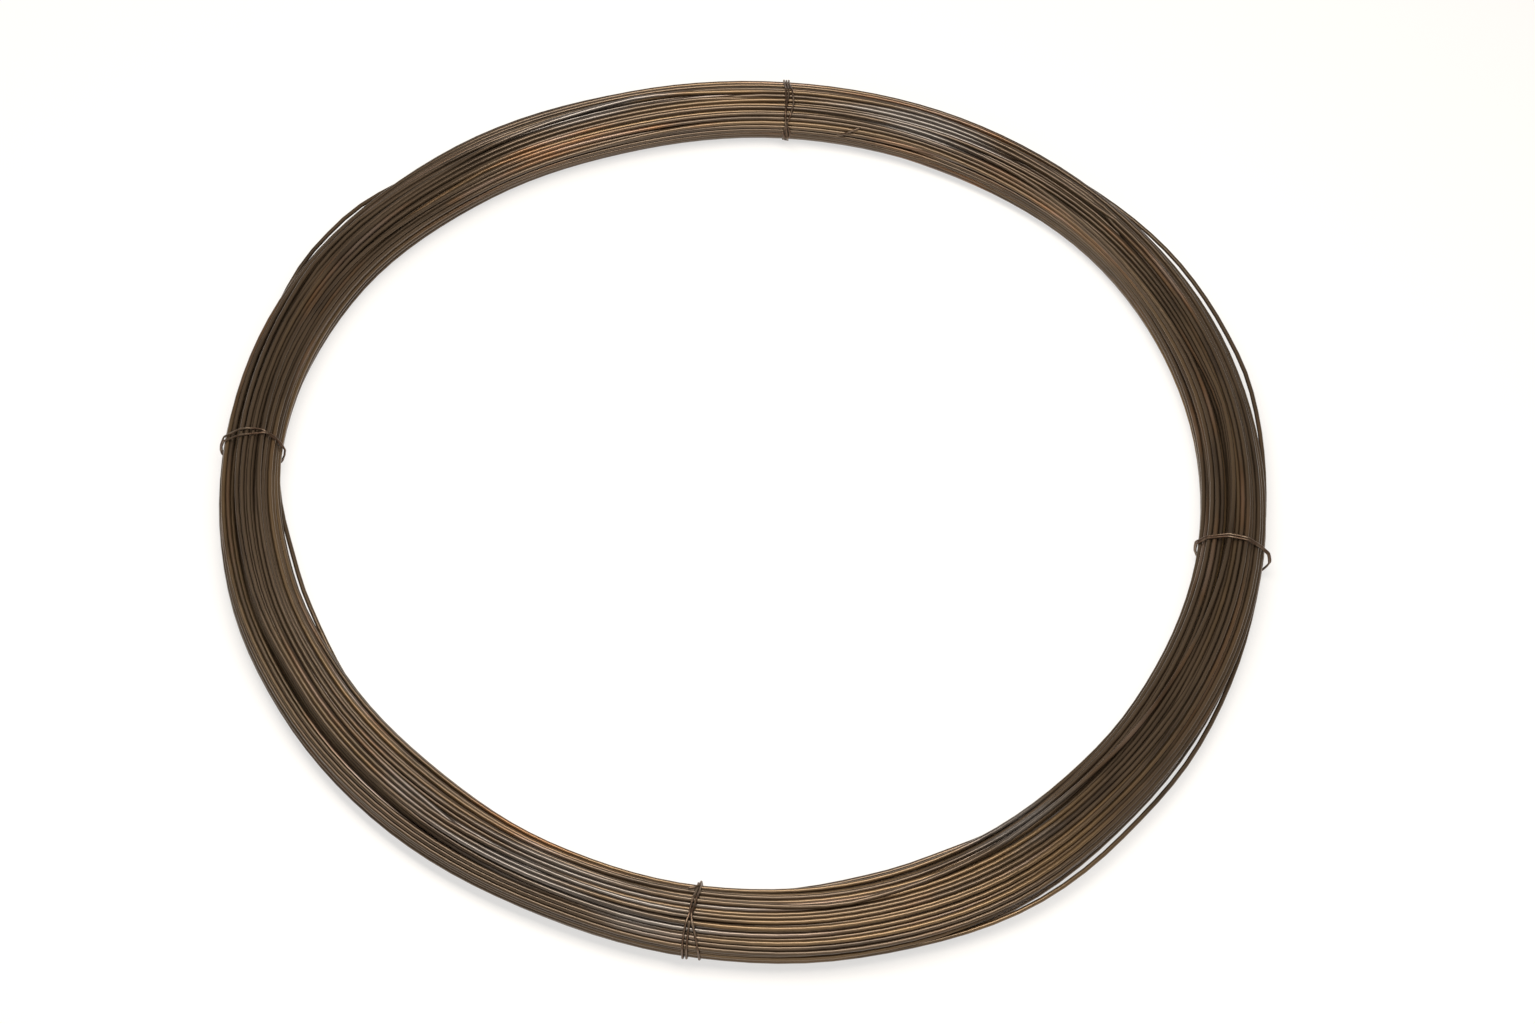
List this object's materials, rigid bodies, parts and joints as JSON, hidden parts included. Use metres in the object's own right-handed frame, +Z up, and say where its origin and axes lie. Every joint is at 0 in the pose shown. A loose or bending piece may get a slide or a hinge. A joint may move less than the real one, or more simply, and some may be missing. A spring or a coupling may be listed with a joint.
{
  "type": "coil of annealed steel wire",
  "caption": "Round loose-laid coil of dark annealed steel wire lying flat, its turns held together by doubled tie wires with twisted ends.",
  "frame": {"origin": "middle of the coil, on the floor that it lies on", "axes": "+Z up along the coil's axis, -Y towards the front of the picture, +X to its right"},
  "size_m": [0.4999, 0.5, 0.024],
  "materials": {
    "wire": "dark brown annealing scale with straw, copper and blue-grey temper patches, satin",
    "tie_wire": "dark annealing scale, satin"
  },
  "bodies": {
    "root": {"wire_coil": "wire", "tie_front": "tie_wire", "tie_back": "tie_wire", "tie_left": "tie_wire", "tie_right": "tie_wire"}
  },
  "joints": []
}
